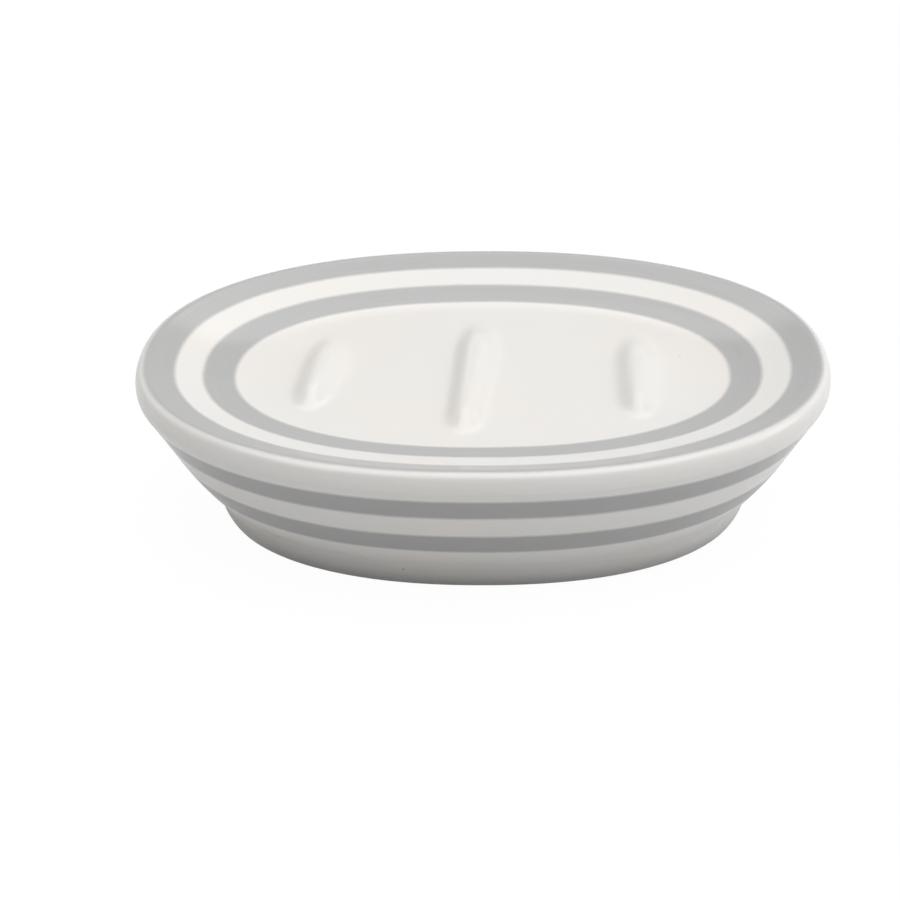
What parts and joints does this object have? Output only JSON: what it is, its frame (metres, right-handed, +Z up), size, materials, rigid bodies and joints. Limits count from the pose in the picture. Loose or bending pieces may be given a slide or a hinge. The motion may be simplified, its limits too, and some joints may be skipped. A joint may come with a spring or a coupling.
{
  "type": "soap dish",
  "caption": "Oval glazed ceramic soap dish: flared wall on a low foot, shallow tray with raised drainage ribs, plain grey bands round wall and tray, hollow underside.",
  "frame": {"origin": "on the table under the middle of the dish, level with the foot ring", "axes": "+X along the dish, +Y across it away from the viewer of the picture, +Z up"},
  "size_m": [0.135, 0.1038, 0.0323],
  "materials": {
    "white_glaze": "gloss white glaze, foot ring wiped bare",
    "grey_band": "gloss, plain grey underglaze colour"
  },
  "bodies": {
    "root": {"dish_body": "white_glaze", "rim_band": "grey_band", "tray_band": "grey_band", "upper_wall_band": "grey_band", "lower_wall_band": "grey_band"}
  },
  "joints": []
}
